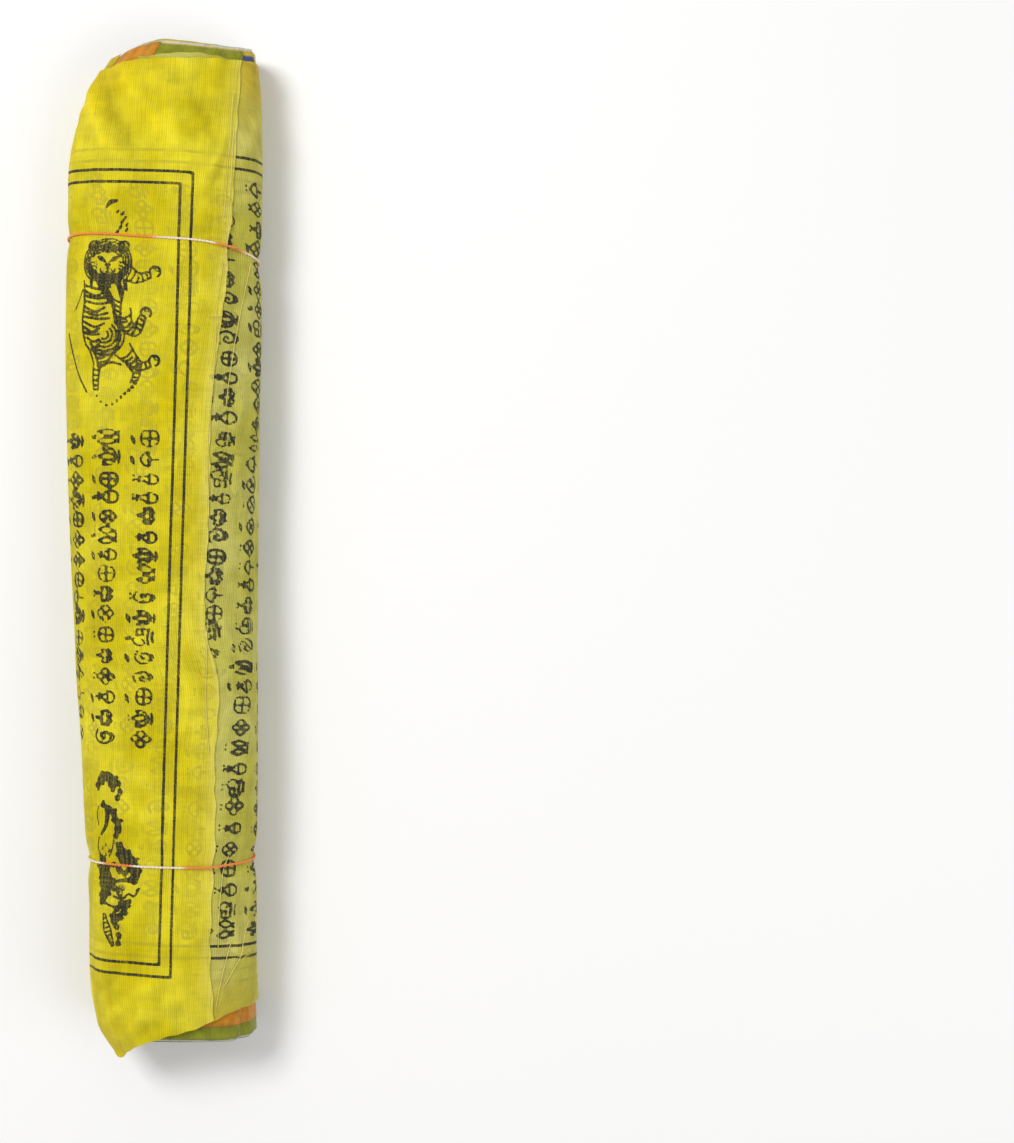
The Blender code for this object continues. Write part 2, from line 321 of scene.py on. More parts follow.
class Figure:
    """Draws a motif from a place on the block. Its points are (along, up) from there. A line
    runs straight from point to point, and a brush stroke bends smoothly through them."""

    def __init__(self, block, u, v):
        self.block, self.u, self.v = block, u, v

    def at(self, points):
        points = np.asarray(points, float)
        return np.column_stack([self.u + points[:, 1], self.v + points[:, 0]])

    def line(self, points, width, away=False):
        carve(self.block, self.at(points), width, away)

    def brush(self, points, width, count=16):
        carve(self.block, bend(self.at(points), count), width)

    def arc(self, x, y, radius, width, start=0.0, end=360.0, count=20):
        carve(self.block, ring((self.u + y, self.v + x), radius, start, end, count), width)

    def curl(self, x, y, radius, start, width=0.6, turns=1.4, count=22):
        carve(self.block, curl((self.u + y, self.v + x), radius, start, turns, count), width)

    def limb(self, spine, girth, line, stripe_pitch, stripe):
        """A body, leg or tail: two sides at half its girth from a curved spine, and stripes
        that bow across it, every other one a little short."""
        path = bend(self.at(spine), 32)
        half = np.interp(np.linspace(0, 1, 32), np.linspace(0, 1, len(girth)), girth) / 2
        along, across = directions(path)
        for side in (-1, 1):
            carve(self.block, path + side * across * half[:, None], line)
        if not stripe_pitch:
            return
        steps = np.linalg.norm(np.diff(path, axis=0), axis=1)
        length = np.concatenate([[0], np.cumsum(steps)])
        for number, place in enumerate(np.arange(stripe_pitch, length[-1], stripe_pitch)):
            i = int(np.searchsorted(length, place))
            t = np.linspace(0.9, -0.36 if number % 2 else -0.9, 6)
            bow = 0.3 * half[i] * (1 - t ** 2)
            carve(self.block, path[i] + across[i] * (t * half[i])[:, None]
                  + along[i] * bow[:, None], stripe)

    def mass(self, spine, girth, locks=0):
        """A solid stroke along a curved spine, as wide as its girth from end to end, with
        small curled locks on either side."""
        path = bend(self.at(spine), 20)
        width = np.interp(np.linspace(0, 1, 20), np.linspace(0, 1, len(girth)), girth)
        for piece in range(19):
            carve(self.block, path[piece:piece + 2], width[piece])
        _, across = directions(path)
        for lock in range(locks):
            i = round(19 * (lock + 0.5) / locks)
            side = 1 if lock % 2 else -1
            root = path[i] + across[i] * side * (width[i] / 2 + 0.2)
            carve(self.block, curl(root, 0.8, 70 * lock, 1.1, 12), 0.55)

    def paw(self, x, y, way):
        """An open ring with two toes, which points the given way in degrees."""
        self.arc(x, y, 1.55, 0.75, way - 125, way + 125, 14)
        centre = (self.u + y, self.v + x)
        for side in (-35, 35):
            toe = [ring(centre, reach, way + side, way + side, 1)[0] for reach in (1.5, 0.35)]
            carve(self.block, toe, 0.5)


HEAD_UP = 17.3  # the middle of the tiger's head, up from its place


def tiger_head(beast):
    """A cat's face in a round ruff: each stroke is drawn on both sides of its middle."""
    for radius, low, high in ((7.4, -132, 130), (6.5, -120, 124), (5.6, -98, 116),
                              (4.8, -84, 70), (4.0, -62, 50)):
        beast.arc(43.2, HEAD_UP, radius, 0.55, low, high, 34)
    for side in (-1, 1):
        def half(points):
            return [(x, HEAD_UP + y * side) for x, y in points]

        beast.arc(48.4, HEAD_UP + 4.7 * side, 1.5, 0.75, count=14)
        beast.mass(half([(48.4, 4.7), (47.8, 4.3)]), (0.9, 0.6))
        beast.brush(half([(43.7, 1.0), (44.9, 1.8), (45.0, 3.2)]), 0.7, 12)
        beast.brush(half([(43.7, 1.0), (43.9, 2.2), (45.0, 3.2)]), 0.45, 12)
        beast.line(half([(44.7, 1.9), (44.2, 1.9)]), 0.55)
        beast.brush(half([(43.9, 0.6), (43.0, 0.5), (42.6, 0.9)]), 0.45, 8)
        beast.arc(41.1, HEAD_UP + 1.15 * side, 1.15, 0.6, 70, 290, 16)
        for row in range(3):
            beast.line(half([(41.6 - 0.5 * row, 0.9 + 0.3 * row),
                             (41.5 - 0.5 * row, 1.0 + 0.3 * row)]), 0.4)
            beast.brush(half([(43.6 - 1.0 * row, 3.3), (43.5 - 1.2 * row, 4.3),
                              (43.0 - 1.3 * row, 5.3)]), 0.5, 8)
            beast.brush(half([(46.2 + 0.9 * row, 0.1), (46.7 + 0.9 * row, 0.9),
                              (46.6 + 0.8 * row, 1.9)]), 0.55, 8)
    beast.mass([(42.5, 16.7), (42.5, 17.9)], (0.8, 0.8))
    beast.line([(42.3, HEAD_UP), (40.2, HEAD_UP)], 0.5)


def tiger(block, u, v):
    """A striped tiger that crouches along the flag: bowed stripes down its back, arcs round
    its thigh, a ringed tail that ends in dots, and a round ruff over a dark beard."""
    beast = Figure(block, u, v)
    for spine, girth, line, pitch, stripe in (
        # body, root of the tail, and legs
        ([(37.4, 18.2), (31, 18.6), (24, 19.2), (17.6, 18.8), (12.4, 19.6)],
         (12.6, 11.4, 12.0, 10.4, 3.0), 0.65, 0, 0),
        ([(12.8, 19.9), (9, 20.3), (4.8, 20.1)], (2.6, 2.2, 1.7), 0.6, 1.5, 0.7),
        ([(40.2, 11), (39.0, 8.4), (40.0, 4.2)], (4.6, 3.0, 1.9), 0.6, 1.4, 0.6),
        ([(29, 12.6), (24.6, 11), (23, 8.9), (27.4, 6.2)], (5.4, 4, 2.8, 1.9), 0.65, 1.4, 0.75),
        ([(17.4, 12.2), (14.6, 9.6), (12.6, 7), (13.4, 3.8)], (5.6, 4, 2.6, 1.9), 0.65, 1.4, 0.7),
        ([(13.6, 9.6), (10.6, 8), (7.2, 9)], (3.0, 2.2, 1.7), 0.6, 1.5, 0.65),
    ):
        beast.limb(spine, girth, line, pitch, stripe)
    for x, y, way in ((41.0, 2.9, 330), (28.6, 5.4, 350), (14.4, 2.7, 320)):
        beast.paw(x, y, way)
    for number in range(13):
        x = 36.4 - 1.58 * number
        bow = 1.1 + 0.5 * np.sin(1.9 * number)
        reach = (16.2, 17.8, 16.8)[number % 3] if number < 8 else 19.4
        back = 24.4 if number < 10 else 24.4 - 0.9 * (number - 9)
        beast.brush([(x, back), (x - bow, (back + reach) / 2), (x - 0.4, reach)], 0.8)
    for number in range(6):
        x, y = 34.6 - 1.5 * number, 16.4 - 0.3 * number
        beast.brush([(x, y), (x - 2.2, 15.2 - 0.2 * number), (x - 3.4, 12.8)], 0.65)
    for number in range(5):
        beast.arc(21.6, 17.8, 1.3 + 1.2 * number, 0.68, 150 - 4 * number, 322)
    for number in range(4):
        x = 17.4 - 1.3 * number
        beast.brush([(x, 21.8 - 0.7 * number), (x - 1.6, 19.6), (x - 1.2, 17.4)], 0.65)
    tail = ((3.2, 19.8), (1.4, 18.4), (0.5, 16.8), (0.9, 15.2), (1.9, 13.8), (3.0, 12.6),
            (4.2, 11.4), (5.2, 10.2), (6.2, 9.2), (7.6, 8.4))
    for number, (x, y) in enumerate(tail):
        beast.arc(x, y, 0.12 + 0.03 * number, 0.75, count=4)
    tiger_head(beast)
    for points, girth in (
        # beard, chest and the raised tip of the tail
        ([(42.4, 23), (39.6, 21.8), (38.2, 18.6), (38.6, 14.6), (42.2, 11.2)],
         (1.2, 2.6, 3.0, 2.4, 1.2)),
        ([(37.6, 19.4), (35, 18), (31.6, 16.2)], (3.0, 2.4, 0.8)),
        ([(38.4, 14.4), (35.4, 13.4), (32.6, 13)], (2.0, 1.4, 0.6)),
        ([(37.8, 12), (35, 11.2)], (1.4, 0.6)),
        ([(40.2, 21.4), (37, 22.4), (35.2, 22)], (1.6, 1.0, 0.5)),
        ([(60.0, 18), (61.6, 16.6), (62.0, 14.8)], (0.8, 1.5, 0.9)),
    ):
        beast.mass(points, girth)
    for x, y, width in ((58.4, 14.9, .7), (57.8, 13.4, .9), (56.6, 12.6, .7), (55.4, 13.6, .9),
                        (54.6, 12.2, .7), (53.8, 14.2, .9), (53, 12.4, .8), (52.2, 15.4, 1.0)):
        beast.line([(x, y), (x + 0.7, y - 0.6)], width)
    beast.brush([(12.6, 17.6), (13.4, 15.4), (12.8, 12.6)], 0.75)
    beast.brush([(35, 25), (32, 26.4), (28.6, 28.4)], 0.55)
    beast.brush([(22, 31), (14, 28.6), (8.6, 26), (4.2, 23.6)], 0.65)


def lion(block, u, v):
    """A maned lion seen among its own plumes: solid locks for mane and tail, curls beside
    them, a small pale body, and a bearded head."""
    beast = Figure(block, u, v)
    for points, girth, locks in (
        ([(48, 18), (51.2, 17.2), (52.6, 14.6), (51, 12.8), (48.4, 12.8)],
         (0.8, 2.2, 2.6, 2.4, 1.4), 6),
        ([(52.4, 16), (53.8, 15.2)], (1.2, 0.5), 0),
        ([(43.6, 16.6), (42.8, 13.8), (39.6, 11.2), (36, 10.3), (34.8, 11.8)],
         (1.2, 1.8, 2.2, 1.9, 1.0), 7),
        ([(40.8, 14.4), (37.6, 14.8), (34.8, 16.6)], (1.6, 1.3, 0.8), 0),
        ([(32.4, 10.6), (29.4, 8.8), (26.8, 6.4), (24, 4.9), (21.6, 5)],
         (1.4, 3.6, 4.2, 3.4, 2.4), 8),
        ([(29.6, 10.4), (26.2, 9.8)], (1.6, 1.0), 0),
        ([(21.6, 6.2), (21.4, 9.4), (20.8, 11.6)], (1.6, 1.1, 0.8), 0),
        ([(27.8, 17.4), (24.2, 16.4), (20.8, 14.4), (17.6, 14.8), (14.2, 16.2)],
         (1.8, 4.0, 4.6, 3.4, 1.2), 9),
        ([(21.6, 13.4), (20.4, 11.4)], (2.0, 1.0), 0),
        ([(18.6, 4.0), (19.4, 3.2)], (1.0, 0.7), 0),
        ([(15.4, 6.2), (14.2, 7.6), (11.8, 9.6), (9, 11.4)], (1.4, 3.0, 3.6, 2.0), 6),
    ):
        beast.mass(points, girth, locks)
    beast.line([(12.6, 8.8), (11.4, 10.4)], 0.55, True)
    for points, width in (
        ([(43.4, 17.8), (40.6, 18.4), (37.4, 17.6)], 0.6),
        ([(34, 17.4), (30.6, 18.2), (27.6, 17.6)], 0.6),
        ([(34.4, 11.8), (31, 12.4), (28, 14)], 0.6),
        ([(17.8, 10.2), (16.9, 9.6), (17.0, 8.6)], 0.7),
        ([(16.6, 11.6), (16.0, 8.4), (17.6, 6.4), (16.8, 5), (18.6, 3.6)], 0.75),
        ([(14.2, 14.4), (13.4, 11.4), (14.6, 8)], 0.7),
    ):
        beast.brush(points, width)
    for x, y in ((32.4, 15), (30.8, 13.8), (31.2, 16.4), (29.4, 15.4)):
        beast.brush([(x, y), (x - 0.9, y - 0.3), (x - 1.2, y + 0.5)], 0.5)
    for y in (9.0, 11.2):
        beast.arc(18.9, y, 0.95, 0.55, count=10)
        beast.arc(18.9, y, 0.1, 0.6, count=4)
    beast.limb([(11, 15), (6.4, 13.8), (1.4, 11.6)], (0.8, 2.8, 0.8), 0.6, 1.3, 0.6)
    for x, y, radius, way in (
        (50.6, 10.8, 1.3, 20), (48.2, 10.3, 1.2, 140), (46.2, 10.9, 1.1, 60),
        (26, 12.4, 1.1, 90), (24.4, 10.6, 1.2, 200), (23.4, 8.2, 1.1, 300),
        (7.6, 10.2, 1.2, 30), (4.8, 9.8, 1.3, 160), (2.2, 9.9, 1.0, 250),
    ):
        beast.curl(x, y, radius, way)


def cloud(block, u, v, size):
    """A bank of three curls on a wavy foot."""
    bank = Figure(block, u, v)
    for number, (x, y, radius) in enumerate(((-1.6, 0.2, 0.9), (0, 0.7, 1.2), (1.7, 0.1, 0.9))):
        bank.curl(x * size, y * size, radius * size, 90 + 25 * number, 0.9)
    foot = np.array([(-3.0, -0.9), (-1.5, -0.5), (0, -0.9), (1.5, -0.5), (3.0, -0.9)])
    bank.brush(foot * size, 0.9, 24)


def medallion(block, u, v):
    """A wheel of eight spokes in a ring of petals."""
    wheel = Figure(block, u, v)
    for radius, width in ((20.0, 1.2), (17.6, 0.9), (9.6, 1.2), (7.8, 0.9), (2.6, 1.4)):
        wheel.arc(0, 0, radius, width, count=72)
    for number in range(8):
        turn = np.radians(45 * number)
        outwards = np.array([np.cos(turn), np.sin(turn)])
        wheel.line(np.outer((2.6, 7.8), outwards), 1.2)
        wheel.line(np.outer((13.2, 15.4), outwards), 2.0)
    for way in range(0, 360, 30):
        turn = np.radians(way)
        wheel.arc(12.2 * np.cos(turn), 12.2 * np.sin(turn), 3.6, 0.9, way - 108, way + 108)


# Lucky emblems and small ornaments for the rows, as lines in a unit square: along the row, up
ORNAMENTS = (
    # lotus
    ([(.5, .1), (.3, .5), (.5, 1), (.7, .5), (.5, .1)], [(.5, .1), (.1, .3), (.02, .8), (.34, .5)],
     [(.5, .1), (.9, .3), (.98, .8), (.66, .5)], [(.15, 0), (.5, -.06), (.85, 0)]),
    # vase with a leaf on either side
    ([(.36, .9), (.4, .72), (.14, .4), (.34, 0), (.66, 0), (.86, .4), (.6, .72), (.64, .9)],
     [(.28, .92), (.72, .92)], [(.5, .94), (.5, 1.1)], [(.3, .4), (.7, .4)]),
    # parasol
    ([(0, .55), (.18, .85), (.5, 1), (.82, .85), (1, .55)],
     [(0, .55), (.2, .46), (.4, .58), (.6, .46), (.8, .58), (1, .55)], [(.5, .5), (.5, -.02)]),
    # wheel
    ([(.5, .9), (.86, .78), (.98, .45), (.86, .12), (.5, 0), (.14, .12), (.02, .45),
      (.14, .78), (.5, .9)], [(.5, .04), (.5, .86)], [(.08, .45), (.92, .45)]),
    # knot
    ([(.5, 0), (1, .5), (.5, 1), (0, .5), (.5, 0)], [(.25, .25), (.75, .75)],
     [(.75, .25), (.25, .75)]),
    # conch
    ([(.5, .42), (.62, .56), (.4, .68), (.24, .46), (.44, .16), (.82, .26), (.9, .66), (.56, 1),
      (.12, .86)], [(.3, .1), (.5, -.04), (.78, .1)]),
    # pair of fish
    ([(.16, 1), (0, .55), (.26, .12), (.4, .5), (.16, 1)], [(.14, 0), (.26, .12), (.4, 0)],
     [(.84, 1), (1, .55), (.74, .12), (.6, .5), (.84, 1)], [(.6, 0), (.74, .12), (.86, 0)]),
    # flower
    ([(.5, .5), (.3, .84), (.5, 1.04), (.7, .84), (.5, .5)],
     [(.5, .5), (.86, .74), (1.04, .5), (.86, .3), (.5, .5)],
     [(.5, .5), (.3, .2), (.5, -.04), (.7, .2), (.5, .5)],
     [(.5, .5), (.14, .74), (-.04, .5), (.14, .3), (.5, .5)]),
    # jewels in flames
    ([(.3, .1), (.46, .26), (.3, .42), (.14, .26), (.3, .1)],
     [(.7, .1), (.86, .26), (.7, .42), (.54, .26), (.7, .1)],
     [(0, .3), (.1, .72), (.3, .62), (.5, 1.06), (.7, .62), (.9, .72), (1, .3)]),
    # cloud
    ([(.0, .4), (.06, .8), (.4, .8), (.36, .5), (.2, .54)],
     [(.38, .78), (.66, 1), (.98, .74), (.86, .42), (.66, .52)],
     [(0, .22), (.5, .3), (1, .22)], [(.2, .02), (.5, .08), (.8, .02)]),
)


def ornament_row(block, u, low, high, draw):
    """A row of ornaments between two places, each a little uneven, some with a small leaf,
    curl or pair of dots above."""
    place, above = low, ORNAMENT_HEIGHT + 1.2
    while place + ORNAMENT_WIDTH < high:
        ornament = Figure(block, u, place)
        flip = draw.random() < 0.5
        stretch = draw.uniform(0.85, 1.1, 2)
        for line in ORNAMENTS[draw.integers(len(ORNAMENTS))]:
            points = np.array(line)
            if flip:
                points[:, 0] = 1 - points[:, 0]
            points = points * (ORNAMENT_WIDTH, ORNAMENT_HEIGHT) * stretch
            width = ORNAMENT_LINE * draw.uniform(0.85, 1.25)
            ornament.brush(points, width, 4 * len(points))
        extra = draw.random()
        if extra < 0.3:
            leaf = np.array([(0.6, 0), (1.6, 1.0), (3.2, 1.2), (2.4, 0.2), (0.6, 0)])
            ornament.line(leaf + (0, above), 0.6)
        elif extra < 0.5:
            ornament.curl(2.4, above + 0.4, 1.1, 90, 0.6, 1.0, 12)
        elif extra < 0.7:
            for x in (1.6, 3.0):
                ornament.arc(x, above, 0.1, 0.8, count=4)
        place += ORNAMENT_PITCH * draw.uniform(0.94, 1.1)


KEPT_CLEAR = (
    # low u, high u, low v, high v of what the rows leave free, in the order of low v
    (17, 46, -118, -52), (54, 69, -118, -78), (200, 226, -118, -70), (69, 115, -24, 24),
    (17, 52, 46, 118), (200, 226, 70, 118), (54, 69, 78, 118),
)


def carve_block():
    """The whole block: double frame, animals in the lower corners, clouds in the upper ones, a
    medallion, and rows of ornaments in what is left."""
    block = np.full((len(BLOCK_U), len(BLOCK_V)), BLOCK_REACH)
    for inset in (0.0, FRAME_GAP):
        u0, u1 = FRAME_BOTTOM + inset, FRAME_TOP - inset
        v0, v1 = FRAME_LOW + inset, FRAME_HIGH - inset
        carve(block, [(u0, v0), (u1, v0), (u1, v1), (u0, v1), (u0, v0)], FRAME_LINE)
    tiger(block, 20.0, 50.0)
    lion(block, 20.0, -114.0)
    for v in (-94.0, 94.0):
        cloud(block, 62.0, v, 4.6)
        cloud(block, 212.0, v, 6.0)
    medallion(block, 92.0, 0.0)
    draw = np.random.default_rng(11)
    for u in np.arange(ROW_FIRST, FRAME_TOP - 10.0, ROW_PITCH):
        stops = [FRAME_LOW + 6.0]
        for low_u, high_u, low_v, high_v in KEPT_CLEAR:
            if low_u - ORNAMENT_HEIGHT < u < high_u:
                stops += [low_v, high_v]
        stops.append(FRAME_HIGH - 6.0)
        for low, high in zip(stops[::2], stops[1::2]):
            ornament_row(block, u, low, high, draw)
    return block


def read_block(block, u, v):
    """Distance to the print's edge at (u, v), read between the block's cells."""
    a = np.clip((u - BLOCK_U[0]) / BLOCK_STEP, 0, len(BLOCK_U) - 1.001)
    b = np.clip((v - BLOCK_V[0]) / BLOCK_STEP, 0, len(BLOCK_V) - 1.001)
    i, j = a.astype(int), b.astype(int)
    s, t = a - i, b - j
    return ((1 - s) * ((1 - t) * block[i, j] + t * block[i, j + 1])
            + s * ((1 - t) * block[i + 1, j] + t * block[i + 1, j + 1]))


UV_SPAN = 310.0  # millimetres of cloth that the unit of a UV map stands for


def add_mesh(name, points, uv=None, values=None, colours=None, closed=False):
    """A mesh from one or more grids of points, shaped (grids, rows, columns, 3). A closed grid
    joins its last column to the first. Points that fall together are merged, which closes seams
    and poles. Values and colours are kept for each point."""
    grids, rows, columns = points.shape[:3]
    index = np.arange(grids * rows * columns).reshape(grids, rows, columns)
    if closed:
        index = np.concatenate([index, index[:, :, :1]], axis=2)
    faces = np.stack([index[:, :-1, :-1], index[:, 1:, :-1], index[:, 1:, 1:],
                      index[:, :-1, 1:]], axis=-1).reshape(-1, 4)
    mesh = bpy.data.meshes.new(name)
    mesh.from_pydata(points.reshape(-1, 3).tolist(), [], faces.tolist())
    if uv is not None:
        layer = mesh.uv_layers.new(name="flag")
        layer.data.foreach_set("uv", uv.reshape(-1, 2)[faces.ravel()].ravel())
    for key, value in (values or {}).items():
        mesh.attributes.new(key, "FLOAT", "POINT").data.foreach_set("value", value.ravel())
    for key, value in (colours or {}).items():
        opaque = np.concatenate([value, np.ones((*value.shape[:-1], 1))], axis=-1)
        mesh.attributes.new(key, "FLOAT_COLOR", "POINT").data.foreach_set("color", opaque.ravel())
    work = bmesh.new()
    work.from_mesh(mesh)
    bmesh.ops.remove_doubles(work, verts=work.verts, dist=0.0005 * MM)
    work.to_mesh(mesh)
    work.free()
    mesh.shade_smooth()
    piece = bpy.data.objects.new(name, mesh)
    bpy.context.collection.objects.link(piece)
    return piece


# Creases of the wound cloth, in millimetres: place round the roll from the free edge and y at
# both ends of the crease, its height and its width
CREASES = (
    # place, y, place, y, height, width
    (12, 112, 40, 151, 1, 2.2), (20, 110, 50, 149, -0.9, 2.4), (30, 118, 58, 146, 0.9, 2),
    (6, 118, 26, 150, -0.7, 1.6), (15, 106, 3, 130, 0.6, 1.4), (12, 104, 2, 122, -0.5, 1.4),
    (46, 141, 20, 146, 0.6, 1.3), (40, 136, 58, 132, 0.5, 1.2), (148, 120, 132, 146, 0.6, 2.4),
    (60, 100, 52, 134, 0.5, 3), (34, 96, 30, 60, 0.3, 2.4), (20, -33, 12, -24, 0.45, 1.2),
    (7, -34, 9.5, -63, 0.4, 0.9), (13, -38, 16, -62, -0.35, 1.1), (147, -8, 138, -36, 0.5, 1.4),
    (2, -24, 5, -50, -0.4, 1.6), (38, -146, 8, -124, 0.9, 2), (42, -138, 14, -116, -0.7, 2.2),
    (32, -152, 4, -134, -0.6, 1.8), (24, -150, 14, -128, 0.5, 1.4), (46, -108, 38, -150, 0.8, 2.4),
    (16, -128, 9, -104, 0.4, 1.6), (143, -102, 132, -134, 0.5, 2.4), (60, 40, 66, -30, 0.35, 3.6),
    (52, 20, 48, -70, -0.3, 4), (28, -84, 18, -66, 0.3, 2), (132, 60, 142, 20, 0.3, 2.4),
)


def crease_relief(place, along):
    """Soft ridges and troughs: a bell across each crease's line, which fades to its ends."""
    total = np.zeros(np.broadcast(place, along).shape)
    for u0, v0, u1, v1, height, width in CREASES:
        du, dv = u1 - u0, v1 - v0
        length = np.hypot(du, dv)
        t = ((place - u0) * du + (along - v0) * dv) / length ** 2
        bow = 0.06 * length * np.sin(np.pi * np.clip(t, 0, 1))
        across = ((place - u0) * dv - (along - v0) * du) / length + bow
        fade = np.clip(1 - (2 * t - 1) ** 2, 0, 1)
        total += height * fade * np.exp(-((across / width) ** 2))
    return total


def cloth_relief(part, y):
    """Unevenness of the wound cloth in millimetres at a part of a turn: long thin flutes,
    puckers beside the ties, rumples that grow towards the ends, and the creases."""
    place, along = part * ROUND, y / MM
    relief = (0.15 * ripple(place, along / 9, 3, 9, 0.45, 1.5)
              + 0.12 * ripple(place, along / 5, 4, 7, 0.2, 0.6) + crease_relief(place, along))
    to_end = np.clip(np.minimum(along + 150.0, 152.0 - along), 0, None)
    relief = relief + 0.45 * ripple(place / 3, along / 6, 6, 8, 0.7, 1.9) * np.exp(-to_end / 12)
    for route in TIES.values():
        away = np.abs(along - round_section(part * 0 + np.pi / 2, route))
        relief = relief * (1 - 0.85 * np.exp(-((away / 3) ** 2)))
        pucker = ripple(place, along / 30, 5, 6, 0.7, 1.6)
        relief = relief + 0.22 * pucker * np.exp(-away / 9) * (1 - np.exp(-((away / 2) ** 2)))
    return relief


def relief_round(turn, y):
    """Relief at any turn, in metres. It is the same in stacked turns, so that they lie in each
    other's folds, and passes smoothly from one turn to the next."""
    part = turn % 1
    join = np.clip((part - 0.94) / 0.06, 0, 1)
    join = join * join * (3 - 2 * join)
    return ((1 - join) * cloth_relief(part, y) + join * cloth_relief(part - 1, y)) * MM


def turns_at(up, rows):
    """Turn of the winding at each distance up the flag from the free edge, for each row's y:
    the section's length is summed over fine steps and read backwards. Also the length of one
    turn, and how far from the edge the printed frame lies."""
    most_turns = 2.1
    steps = np.linspace(0, most_turns, 640)
    y = rows[:, None]
    angle = free_edge_angle(y) + 2 * np.pi * steps
    points = wound(y, angle, EDGE_STEP * np.minimum(steps, 1.0), tied=0.0)
    pieces = np.linalg.norm(np.diff(points, axis=1), axis=2)
    length = np.concatenate([np.zeros((len(rows), 1)), np.cumsum(pieces, axis=1)], axis=1) / MM
    turn = np.stack([np.interp(up, row, steps) for row in length])
    round_once = np.array([np.interp(1.0, steps, row) for row in length])
    (y0, x0), (y1, x1) = FRAME_SIDE
    frame_x = x0 + (x1 - x0) * (rows / MM - y0) / (y1 - y0)
    top = slice(0, int(0.25 * len(steps) / most_turns))
    to_frame = np.array([
        np.interp(-x * MM + ORIGIN_X, -points[i, top, 0], length[i, top])
        for i, x in enumerate(frame_x)
    ])
    return turn, round_once, to_frame


def wrap_depth(turn, up):
    """Depth of the outer flag in metres. The first turn sinks by one step and comes down to
    the turn under it at the free edge; the second closes up under the first."""
    first = EDGE_STEP * turn + (EDGE_STEP - EDGE_REST * MM) * np.exp(-((up / EDGE_REACH) ** 2))
    past = np.clip(turn - 1, 0, None)
    second = (UNDER_EDGE + SINK * np.clip((past - 0.03) / 0.1, 0, 1) + EDGE_STEP * past
              + (EDGE_STEP - UNDER_EDGE) * np.exp(-past / CLOSE_UP))
    return np.where(turn < 1, first, second)


def outer_flag(block):
    """The outermost flag: one sheet wound leftwards from its free edge. Across it runs the
    distance from that edge, along it the roll's y between its two side edges. Its rim turns
    inwards by the cloth's thickness."""
    up = [np.arange(low, high, step) for low, high, step in STEPS_UP]
    up = np.concatenate([[0.0], *up, [FLAG_HEIGHT]])
    along = [np.arange(low, high, step) for low, high, step in STEPS_ALONG]
    along = np.concatenate(along) / FLAG_WIDTH + 0.5
    along = np.concatenate([[0.0], along, [1.0, 1.0]])
    guess = (-146.0 + 296.0 * along) * MM  # each row's y, near enough to wind it by
    frayed = EDGE_FRAY * (ripple(guess / MM / 9, 0, 8) + 0.8 * ripple(guess / MM / 1.6, 0, 14))
    u = up[None, :] + frayed[:, None] * np.clip(1 - up / 4.0, 0, 1)
    turn, round_once, to_frame = turns_at(up, guess)
    turn = turn + (u - up) / round_once[:, None]
    angle = free_edge_angle(guess[:, None]) + 2 * np.pi * turn
    buried = np.clip((turn - 1.0) * 8, 0, 1)
    ragged = 0.3 * ripple(u / 3.2, 0, 12) + 0.18 * ripple(u / 0.9, 0, 13)
    low = round_section(angle, ENDS, LOW_WRAP) + ragged + 4.0 * buried
    high = round_section(angle, ENDS, HIGH_WRAP) + ragged[::-1] + 1.2 * buried
    y = (low + (high - low) * along[:, None]) * MM
    depth = wrap_depth(turn, u)
    rim = np.zeros(u.shape)
    rim[[0, -1]] = 1
    rim[:, 0] = 1
    lift = 0.25 * np.clip(ripple(y / MM / 17, 0, 9), 0, None) * np.exp(-u / 2.5) * MM
    points = wound(y, angle, depth + rim * CLOTH * MM, relief_round(turn, y) + lift,
                   (0.45 * buried + rim * CLOTH) * MM)

    # Where each point lies on the printed flag, and what lies under it
    def print_place(distance):
        turned = distance - to_frame[:, None] + FRAME_BOTTOM - TWIST * (y / MM) * distance
        return turned, y / MM - SKEW_START - SKEW * distance

    print_u, print_v = print_place(u)
    doubled = np.clip((DOUBLED_TO - turn) * 150, 0, 1)
    second = read_block(block, *print_place(u + round_once[:, None]))
    # Elsewhere the next flag lies beneath, the other way up and a little shifted
    other = read_block(block, FLAG_HEIGHT + 6.7 - print_u, print_v + 7.0)
    to_end = np.clip(150.0 - np.abs(y / MM + 2.0), 0, None)
    warm = 0.55 * np.exp(-to_end / 15.0) * np.clip((u - 18.0) / 40.0, 0, 1) * (turn < 1)
    values = {
        "ink": read_block(block, print_u, print_v)[None],
        "ghost": np.where(doubled > 0.5, second, other)[None],
        "doubled": doubled[None],
        "warm": warm[None],
        # Crease relief used as colour: painted shade in the fold troughs, painted highlight on the
        # ridges
        "fold_shading": crease_relief(turn % 1 * ROUND, y / MM)[None],
        # Fades from the free edge: pale frayed threads, also a painted highlight over the edge's
        # shadow line
        "edge": np.exp(-u / 2.6)[None],
    }
    uv = np.stack([y / MM / UV_SPAN, u / UV_SPAN], axis=-1)
    flag = add_mesh("outer_flag", points[None], uv[None], values)
    flag.data.set_sharp_from_angle(angle=np.radians(55))
    return flag


def stack_pace(turn, slowest):
    """How many flags have begun by this turn, as a share of them all: few begin on the upper
    side, where one flag shows over a wide stretch, and more elsewhere."""
    slow = np.sin(2 * np.pi * (turn - slowest)) + np.sin(2 * np.pi * slowest)
    return turn - 0.88 * slow / (2 * np.pi)


def wrap_room(turn):
    """Depth in millimetres at which the flags inside begin: it follows the outer flag's step
    and stays clear of its second turn."""
    part = turn % 1
    return UNDER_WRAP + EDGE_STEP / MM * (part + np.exp(-part / CLOSE_UP))


